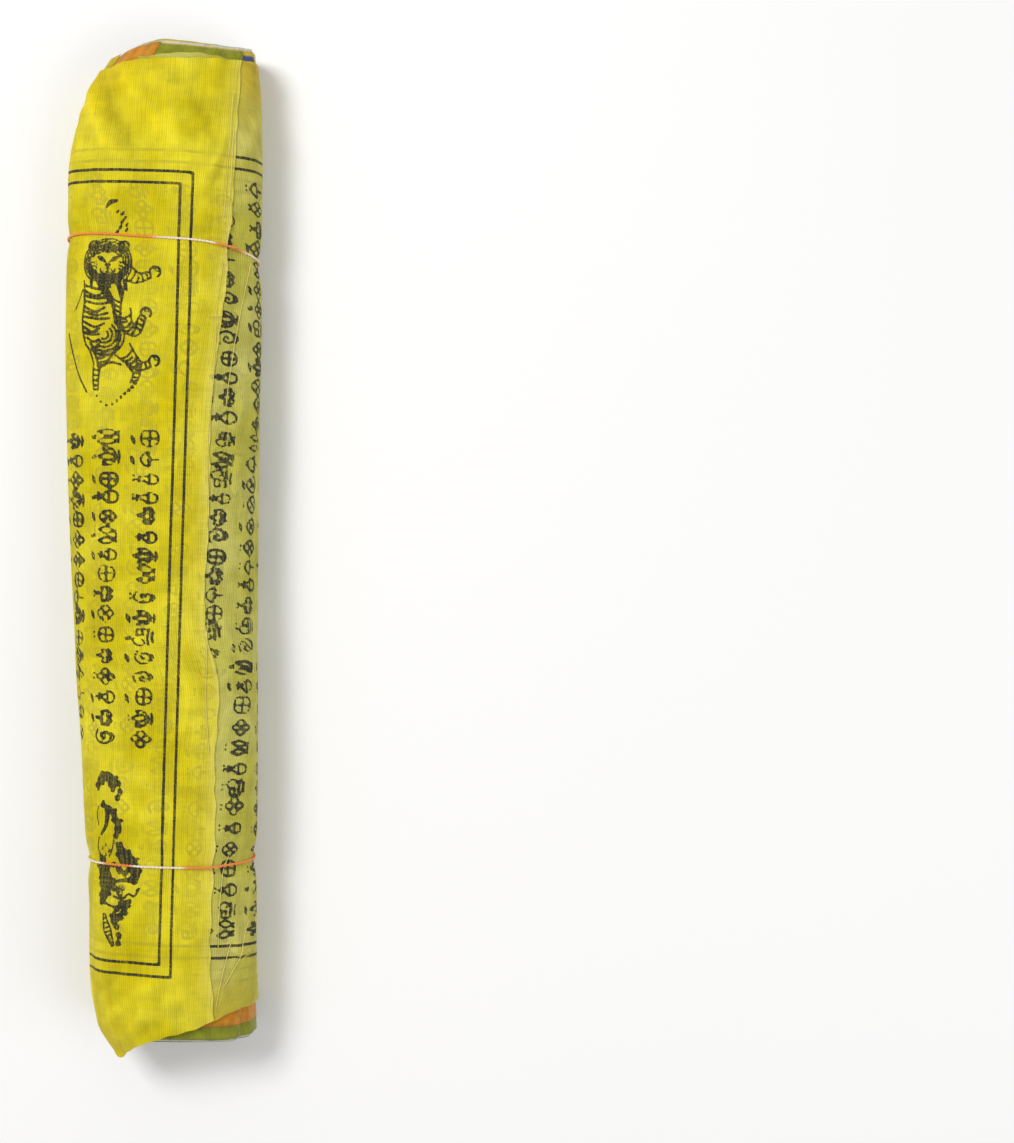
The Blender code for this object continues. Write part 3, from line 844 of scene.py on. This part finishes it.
def flags_inside(name, low_end):
    """The ends of the flags inside: each is a strip of cloth that winds from its place on the
    outside to the core. All turn together, so that they stay in order, and each begins a
    little after the one before it. They end unevenly. Also gives the strips' whole length."""
    end, out, column = (0, -1.0, LOW_INSIDE) if low_end else (1, 1.0, HIGH_INSIDE)
    start = np.radians(FLAGS_START[end])
    # The outer flag's turn over the place where the outermost strip begins
    past_edge = (start - float(free_edge_angle(np.array(out * 145.0 * MM)))) / (2 * np.pi)
    number = np.arange(FLAGS_INSIDE)[:, None]
    steps = np.linspace(-2.5, 4.5, 4000)
    begun = number / FLAGS_INSIDE
    pace = stack_pace(steps, PACE_SLOW[end])
    first, last = (np.interp(stop - begun, pace, steps) for stop in (0, STACK_TURNS))
    turn = first + (last - first) * np.linspace(0, 1, STACK_STEPS)[None, :]
    share = (stack_pace(turn, PACE_SLOW[end]) + begun) / STACK_TURNS
    angle = start + 2 * np.pi * turn
    turn = turn + past_edge
    room = wrap_room(turn)
    depth = room + (CORE_DEPTH - room) * share
    rise = smooth_read(depth, END_RISE[:, 0], END_RISE[:, end + 1])
    uneven = 0.6 * ripple(number * 2.9, 0, 21) + 0.5 * ripple(number * 5.3, turn * 5, 22)
    short = np.array([SHORT_FLAGS[end].get(k, 0.0) for k in range(FLAGS_INSIDE)])[:, None]
    tip = round_section(angle, ENDS, column) + out * (rise + uneven - short)
    inwards = np.array(EDGE_ROWS)[None, None, :]
    tip, angle, depth, turn = (part[..., None] for part in (tip, angle, depth, turn))
    y = (tip - out * inwards) * MM
    loose = 0.12 * ripple(turn * 9, number[..., None] * 0.4, 23) * np.exp(-inwards / 3.0)
    shrink = outline_at(y)[1] / outline_at(0.0)[1]
    sunk = (depth + loose) * shrink * MM
    follow = relief_round(turn, y) * np.exp(-(depth - room[..., None]) / 4.0)
    points = wound(y, angle + 0 * y, sunk, follow, sunk * 0.92)
    dyes = np.array([FLAG_DYES[DYE_ORDER[k % len(DYE_ORDER)]] for k in range(FLAGS_INSIDE)])
    dye = np.broadcast_to(dyes[:, None, None, :], points.shape)
    uv = np.stack([y / MM / UV_SPAN, (turn * ROUND + 0 * y) / UV_SPAN], axis=-1)
    if low_end:
        points, uv, dye = points[:, :, ::-1], uv[:, :, ::-1], dye[:, :, ::-1]
    points, uv, dye = (part.swapaxes(1, 2)[:, ::-1] for part in (points, uv, dye))
    piece = add_mesh(name, points, uv, None, {"dye": dye})
    solid = piece.modifiers.new("thickness", "SOLIDIFY")
    solid.thickness = EDGE_THICKNESS
    solid.offset = 0.0
    length = np.linalg.norm(np.diff(points[:, 2], axis=1), axis=2).sum()
    return piece, length


def heading(path, closed):
    """Unit vectors along a path."""
    if closed:
        return unit(np.roll(path, -1, axis=0) - np.roll(path, 1, axis=0))
    return unit(np.gradient(path, axis=0))


def tube(path, radius, sides, closed):
    """Grid of a round tube: a circle carried along a path, square to it."""
    along = heading(path, closed)
    side = unit(np.cross(along, (0.31, 0.87, 0.38)))
    other = np.cross(side, along)
    around = np.linspace(0, 2 * np.pi, sides, endpoint=False)
    ring_points = (np.cos(around)[None, :, None] * side[:, None]
                   + np.sin(around)[None, :, None] * other[:, None])
    return path[:, None] + np.reshape(radius, (-1, 1, 1)) * ring_points


# How white each tie is by the angle round the section; it is orange elsewhere
TIE_WHITE = {
    "tie_upper": [(0, .8), (22, .75), (32, .35), (57, .3), (63, .95), (87, .9), (93, .1),
                  (140, .05), (155, .3), (180, .1), (220, .8), (260, .2), (300, .9), (330, .5),
                  (360, .8)],
    "tie_lower": [(0, .15), (40, .1), (77, .12), (84, .85), (106, .8), (111, .1), (129, .1),
                  (136, .9), (150, .9), (172, .3), (200, .9), (230, .2), (280, .8), (320, .1),
                  (360, .15)],
}
PLY_RADIUS = 0.21 * MM
PLY_APART = 0.82  # how far a ply lies from the tie's middle, as a part of its radius
PLY_TWIST = 2.3 * MM  # length of one twist
PLY_POINTS, PLY_SIDES = 600, 8
TIE_RISE = 0.44 * MM  # from the cloth to the tie's middle
KNOT_TURNS = 3
KNOT_RADIUS, KNOT_LENGTH, KNOT_THREAD = 0.6 * MM, 2.4 * MM, 0.3 * MM


def tie_thread(name, route):
    """Two plies twisted round each other: circles carried along a helix about the tie's path,
    which lies in its groove. A knot of three turns sits on the right flank."""
    angle = np.linspace(0, 2 * np.pi, PLY_POINTS, endpoint=False)
    y = round_section(angle, route) * MM
    turn = (angle + np.radians(TIE_BRIDGE) - free_edge_angle(np.mean(y))) % (2 * np.pi)
    drop = EDGE_STEP * turn / (2 * np.pi)
    path = wound(y, angle, drop)
    for _ in range(6):
        path = (np.roll(path, 1, axis=0) + 2 * path + np.roll(path, -1, axis=0)) / 4
    along = heading(path, True)
    outward = unit(np.cross(along, (0.0, -1.0, 0.0)))
    side = np.cross(along, outward)
    path = path + outward * TIE_RISE
    length = np.linalg.norm(np.roll(path, -1, axis=0) - path, axis=1)
    travelled = np.concatenate([[0], np.cumsum(length)[:-1]])
    twists = round(length.sum() / PLY_TWIST)
    twist = 2 * np.pi * twists * travelled / length.sum()
    white = round_section(angle, TIE_WHITE[name])
    grids, whites, strands = [], [], []
    for phase in (twist, twist + np.pi):
        centre = path + PLY_RADIUS * PLY_APART * (np.cos(phase)[:, None] * outward
                                                  + np.sin(phase)[:, None] * side)
        grid = tube(centre, PLY_RADIUS, PLY_SIDES, True)
        grids.append(np.concatenate([grid, grid[:1]]))
        whites.append(np.append(white, white[0]))
        strands.append(np.arange(PLY_POINTS + 1) / (PLY_POINTS + 1))
    at = int(KNOT_ANGLE / 360 * PLY_POINTS)
    t = np.linspace(0, 1, PLY_POINTS + 1)
    knot_turn = 2 * np.pi * KNOT_TURNS * t
    loop = (path[at] + outward[at] * 0.3 * MM + np.outer((t - 0.5) * KNOT_LENGTH, along[at])
            + KNOT_RADIUS * (np.outer(np.cos(knot_turn), outward[at])
                             + np.outer(np.sin(knot_turn), side[at])))
    thread = KNOT_THREAD * np.clip(np.minimum(t, 1 - t) * 40, 0, 1)
    grids.append(tube(loop, thread, PLY_SIDES, False))
    whites.append(np.full(PLY_POINTS + 1, white[at]))
    strands.append(t * 0.1)
    white_values, strand = (np.repeat(np.stack(rows)[..., None], PLY_SIDES, axis=2)
                            for rows in (whites, strands))
    around = np.linspace(0, 1, PLY_SIDES, endpoint=False)
    uv = np.stack([strand, np.broadcast_to(around, strand.shape)], axis=-1)
    return add_mesh(name + "_thread", np.stack(grids), uv, {"white": white_values}, closed=True)


# Frayed yarns on the cloth: angle and y of a few points, in degrees and millimetres
YARN_RADIUS, YARN_POINTS = 0.11 * MM, 60
YARNS = (
    ((45, 128), (47, 112), (49, 98), (52, 84)),
    ((47, 140), (49, 120), (52, 100)),
    ((56, 62), (57, 74), (52, 88)),
    ((44, -92), (52, -99), (57, -110), (58, -122)),
    ((50, 42), (46, 54), (40, 66), (30, 80), (22, 88)),
    ((56, -133), (46, -128), (34, -122), (20, -112)),
    ((62, -139), (55, -128), (44, -118)),
    ((62, 6), (64, 30), (60, 52), (58, 70)),
    ((63, -20), (65, -44), (63, -62)),
)


def loose_yarns():
    """Single yarns from the cut edges, as thin tubes just over the cloth."""
    grids = []
    for number, yarn in enumerate(YARNS):
        yarn = np.array(yarn, float)
        knots = np.arange(len(yarn))
        t = np.linspace(0, len(yarn) - 1, YARN_POINTS)
        angle = np.radians(smooth_read(t, knots, yarn[:, 0]))
        y = smooth_read(t, knots, yarn[:, 1]) * MM
        turn = (angle - free_edge_angle(y)) / (2 * np.pi) % 1
        over = relief_round(turn, y) + (0.28 + 0.12 * np.sin(t * 2.3 + number)) * MM
        path = wound(y, angle, wrap_depth(turn, turn * ROUND), over)
        for _ in range(4):
            path[1:-1] = (path[:-2] + 2 * path[1:-1] + path[2:]) / 4
        radius = YARN_RADIUS * np.clip(np.minimum(t, t[::-1]) * 8, 0, 1)
        grids.append(tube(path, radius, 6, False))
    return add_mesh("loose_yarns", np.stack(grids), closed=True)


def node(tree, kind, inputs=None, **settings):
    """Adds a shader node, sets it up, and fills its sockets with numbers or links."""
    made = tree.nodes.new("ShaderNode" + kind)
    for key, value in settings.items():
        setattr(made, key, value)
    for key, value in (inputs or {}).items():
        if isinstance(value, bpy.types.NodeSocket):
            tree.links.new(value, made.inputs[key])
        else:
            made.inputs[key].default_value = value
    return made


def sums(tree, operation, a, b=0.0):
    return node(tree, "Math", {0: a, 1: b}, operation=operation).outputs[0]


def times_plus(tree, value, factor, plus):
    inputs = {0: value, 1: factor, 2: plus}
    return node(tree, "Math", inputs, operation="MULTIPLY_ADD").outputs[0]


def vector(tree, x, y, z=0.0):
    return node(tree, "CombineXYZ", {0: x, 1: y, 2: z}).outputs[0]


def noise(tree, place, scale, detail):
    return node(tree, "TexNoise", {"Vector": place, "Scale": scale, "Detail": detail}).outputs[0]


def attribute(tree, name, output="Fac"):
    return node(tree, "Attribute", attribute_name=name).outputs[output]


def between(tree, value, low, high, to_low=0.0, to_high=1.0):
    """Maps a range onto another with a soft start and end."""
    inputs = {"Value": value, "From Min": low, "From Max": high, "To Min": to_low,
              "To Max": to_high}
    return node(tree, "MapRange", inputs, interpolation_type="SMOOTHSTEP").outputs[0]


def blend_colours(tree, share, a, b, how="MIX"):
    return node(tree, "Mix", {0: share, 6: a, 7: b}, data_type="RGBA", blend_type=how).outputs[2]


def shaded(tree, colour, shade):
    return blend_colours(tree, 1.0, colour, vector(tree, shade, shade, shade), "MULTIPLY")


def rgba(*colour):
    return (*colour, 1.0)


def finish_material(tree, colour, roughness, sheen, height=None, depth=0.1 * MM, strength=0.5):
    """Gives the shader its colour and surface, and a bump of the given depth."""
    shader = tree.nodes["Principled BSDF"]
    for key, value in (("Sheen Weight", sheen), ("Sheen Roughness", 0.5),
                       ("Specular IOR Level", 0.14), ("Roughness", roughness)):
        shader.inputs[key].default_value = value
    tree.links.new(colour, shader.inputs["Base Color"])
    if height is not None:
        bump = node(tree, "Bump", {"Height": height, "Strength": strength, "Distance": depth})
        tree.links.new(bump.outputs[0], shader.inputs["Normal"])


def new_material(name):
    material = bpy.data.materials.new(name)
    material.use_nodes = True
    return material, material.node_tree


RIB_PITCH = 0.62  # millimetres between the ribs along the roll
PICK_PITCH = 0.52  # and between the threads that cross them


def cotton_weave(tree):
    """The thin cotton in flag millimetres: ribs, crossing threads, and slubs that run along
    the threads. Gives the height of the weave, the slubs and the flag's place."""
    uv = node(tree, "UVMap", uv_map="flag").outputs[0]
    place = node(tree, "VectorMath", {0: uv, 1: (UV_SPAN, UV_SPAN, 1.0)}, operation="MULTIPLY")
    place = place.outputs[0]
    axes = node(tree, "SeparateXYZ", {0: place})
    along, across = axes.outputs[0], axes.outputs[1]
    bent = times_plus(tree, noise(tree, place, 0.09, 1.0), 1.6, across)
    rib = sums(tree, "SINE", sums(tree, "MULTIPLY", bent, 2 * np.pi / RIB_PITCH))
    pick = sums(tree, "SINE", sums(tree, "MULTIPLY", along, 2 * np.pi / PICK_PITCH))
    weave = times_plus(tree, pick, 0.3, rib)
    slub = noise(tree, vector(tree, sums(tree, "MULTIPLY", along, 0.045), bent), 1.5, 3.0)
    slub_across = noise(tree, vector(tree, along, sums(tree, "MULTIPLY", across, 0.06)), 1.3, 2.0)
    return weave, times_plus(tree, slub_across, 0.5, slub), place


def threaded(tree, colour, weave, slubs, tint, depth):
    """A dye shaded by its tint, by the weave to the given depth, and by the slubs."""
    threads = times_plus(tree, weave, depth, tint)
    return shaded(tree, colour, times_plus(tree, slubs, 0.36,
                                           sums(tree, "SUBTRACT", threads, 0.27)))


def printed_cotton():
    """Yellow cotton, deeper where it lies double, olive where a green flag shows through, and
    warmer over the orange flags at the ends. Folds have a painted highlight on their ridges and
    painted shade in their troughs. Along the free edge run pale frayed threads, which are also a
    painted highlight over the edge's shadow line. The print of the layer beneath shows faintly,
    and the ink is worn along the ribs."""
    material, tree = new_material("printed_cotton")
    weave, slubs, place = cotton_weave(tree)
    dye = between(tree, noise(tree, place, 0.045, 3.0), 0.35, 0.68)
    cloudy = noise(tree, place, 0.16, 4.0)
    bright = blend_colours(tree, dye, rgba(0.585, 0.485, 0.001), rgba(0.71, 0.615, 0.022))
    olive = blend_colours(tree, dye, rgba(0.46, 0.43, 0.055), rgba(0.55, 0.52, 0.13))
    cloth = blend_colours(tree, attribute(tree, "doubled"), olive, bright)
    cloth = blend_colours(tree, attribute(tree, "warm"), cloth, rgba(0.64, 0.40, 0.002))
    # The tint adds painted shade in fold troughs and a painted highlight on fold ridges to the
    # cloudy tone
    tint = times_plus(tree, attribute(tree, "fold_shading"), 0.2,
                      between(tree, cloudy, 0.3, 0.72, 0.86, 1.08))
    cloth = threaded(tree, cloth, weave, slubs, tint, 0.11)
    # Pale frayed threads along the free edge, also a painted highlight that lightens the shadow
    # line under it
    frayed = sums(tree, "MULTIPLY", attribute(tree, "edge"),
                  between(tree, slubs, 0.55, 0.95, 0.25, 0.85))
    cloth = blend_colours(tree, frayed, cloth, rgba(0.74, 0.68, 0.16))

    ghost = between(tree, attribute(tree, "ghost"), 0.22, -0.18)
    ghost = sums(tree, "MULTIPLY", ghost, between(tree, cloudy, 0.38, 0.66, 0.08, 0.34))
    cloth = blend_colours(tree, ghost, cloth, rgba(0.16, 0.15, 0.055))

    grain = noise(tree, place, 1.9, 3.0)
    ragged = times_plus(tree, grain, 0.24, -0.12)
    ink = between(tree, sums(tree, "ADD", attribute(tree, "ink"), ragged), 0.08, -0.08)
    worn = between(tree, sums(tree, "ADD", slubs, grain), 1.1, 1.6, 0.99, 0.72)
    pale = between(tree, cloudy, 0.5, 0.78, 1.0, 0.84)
    ink = sums(tree, "MULTIPLY", sums(tree, "MULTIPLY", ink, worn), pale)
    cloth = blend_colours(tree, ink, cloth, rgba(0.018, 0.018, 0.018))
    finish_material(tree, cloth, 0.82, 0.06, times_plus(tree, slubs, 1.2, weave), 0.06 * MM, 0.55)
    return material


def dyed_cotton():
    """Thin cotton in each flag's own dye, a little uneven."""
    material, tree = new_material("dyed_cotton")
    weave, slubs, place = cotton_weave(tree)
    tint = between(tree, noise(tree, place, 0.3, 3.0), 0.3, 0.7, 0.78, 1.12)
    colour = threaded(tree, attribute(tree, "dye", "Color"), weave, slubs, tint, 0.05)
    finish_material(tree, colour, 0.85, 0.25, times_plus(tree, slubs, 1.2, weave), 0.06 * MM)
    return material


def twisted_thread():
    """Thread spun from orange and white fibres: fine fibres along each ply, and a slow change
    from orange to white."""
    material, tree = new_material("twisted_thread")
    uv = node(tree, "UVMap", uv_map="flag").outputs[0]
    axes = node(tree, "SeparateXYZ", {0: uv})
    slant = times_plus(tree, axes.outputs[0], 60.0, axes.outputs[1])
    fibre = noise(tree, vector(tree, sums(tree, "MULTIPLY", slant, 9.0),
                               sums(tree, "MULTIPLY", axes.outputs[0], 40.0)), 1.6, 3.0)
    whiter = sums(tree, "SUBTRACT", attribute(tree, "white"), 0.35)
    share = between(tree, times_plus(tree, fibre, 0.7, whiter), 0.15, 0.85)
    colour = blend_colours(tree, share, rgba(0.88, 0.24, 0.045), rgba(0.88, 0.76, 0.62))
    colour = shaded(tree, colour, between(tree, fibre, 0.3, 0.7, 0.8, 1.1))
    finish_material(tree, colour, 0.6, 0.35, fibre, 0.06 * MM, 0.6)
    return material


def yarn_cotton():
    """A single pale yellow yarn with a fine twist."""
    material, tree = new_material("yarn_cotton")
    fibre = noise(tree, node(tree, "TexCoord").outputs["Object"], 2200.0, 2.0)
    colour = blend_colours(tree, fibre, rgba(0.55, 0.47, 0.05), rgba(0.85, 0.78, 0.28))
    finish_material(tree, colour, 0.7, 0.3, fibre, 0.05 * MM)
    return material


def pale_floor():
    material, tree = new_material("pale_floor")
    cloudy = noise(tree, node(tree, "TexCoord").outputs["Object"], 3.0, 2.0)
    colour = blend_colours(tree, cloudy, rgba(0.92, 0.92, 0.92), rgba(0.95, 0.95, 0.95))
    finish_material(tree, colour, 0.9, 0.0)
    return material


# Camera: straight above, with the roll at the left of the picture
PIXEL = 0.3 * MM  # on the plane of the roll's upper side
PICTURE_HEIGHT = 1143 * PIXEL
CAMERA_OVER_ROLL = 0.65  # metres from the roll's upper side
CAMERA_X, CAMERA_Y = 104.85 * MM - ORIGIN_X, -6.4 * MM - ORIGIN_Y
SENSOR = 36.0


def add_camera():
    data = bpy.data.cameras.new("camera")
    data.sensor_width = SENSOR
    data.lens = SENSOR * CAMERA_OVER_ROLL / PICTURE_HEIGHT
    camera = bpy.data.objects.new("camera", data)
    camera.location = (CAMERA_X, CAMERA_Y, CAD_BOX[1][2] + CAMERA_OVER_ROLL)
    bpy.context.collection.objects.link(camera)
    bpy.context.scene.camera = camera


def add_lights():
    """A pale sky all round, a broad soft light over the upper left, and a weak one opposite."""
    world = bpy.data.worlds.new("studio")
    bpy.context.scene.world = world
    world.use_nodes = True
    background = world.node_tree.nodes["Background"]
    background.inputs["Color"].default_value = rgba(1.0, 0.99, 0.98)
    background.inputs["Strength"].default_value = 0.44
    for name, place, size, power in (
        ("key", (-0.5, 0.45, 1.0), 0.45, 9.0),
        ("fill", (0.8, -0.3, 0.7), 0.8, 3.4),
    ):
        data = bpy.data.lights.new(name, "AREA")
        data.size = size
        data.energy = power
        lamp = bpy.data.objects.new(name, data)
        lamp.location = place
        toward = -np.array(place) / np.linalg.norm(place)
        lamp.rotation_euler = (np.arccos(-toward[2]), 0.0,
                               np.arctan2(toward[1], toward[0]) - np.pi / 2)
        bpy.context.collection.objects.link(lamp)
    bpy.context.scene.view_settings.view_transform = "Standard"


def add_floor():
    size = 3.0  # metres from the middle to each side
    corners = np.array([[(-size, -size), (size, -size)], [(-size, size), (size, size)]])
    points = np.concatenate([corners, np.full((2, 2, 1), -0.05 * MM)], axis=-1)
    floor = add_mesh("floor", points[None, :, ::-1])
    floor.data.materials.append(pale_floor())


def dress():
    """Makes every piece, gives it its material, attaches it to the root body and hides the parts
    of the solid model that it stands for.
    """
    block = carve_block()
    flag = outer_flag(block)
    flag.data.materials.append(printed_cotton())
    inside = [flags_inside("inner_flags_low", True), flags_inside("inner_flags_high", False)]
    dyed = dyed_cotton()
    for piece, _ in inside:
        piece.data.materials.append(dyed)
    yarns = loose_yarns()
    yarns.data.materials.append(yarn_cotton())
    for piece in [flag, *(piece for piece, _ in inside), yarns]:
        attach(piece, "root")
        if piece is not yarns:
            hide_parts("roll")
    thread = twisted_thread()
    for name, route in TIES.items():
        tie = tie_thread(name, route)
        tie.data.materials.append(thread)
        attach(tie, "root")
        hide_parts(name)


add_camera()
add_lights()
add_floor()
dress()
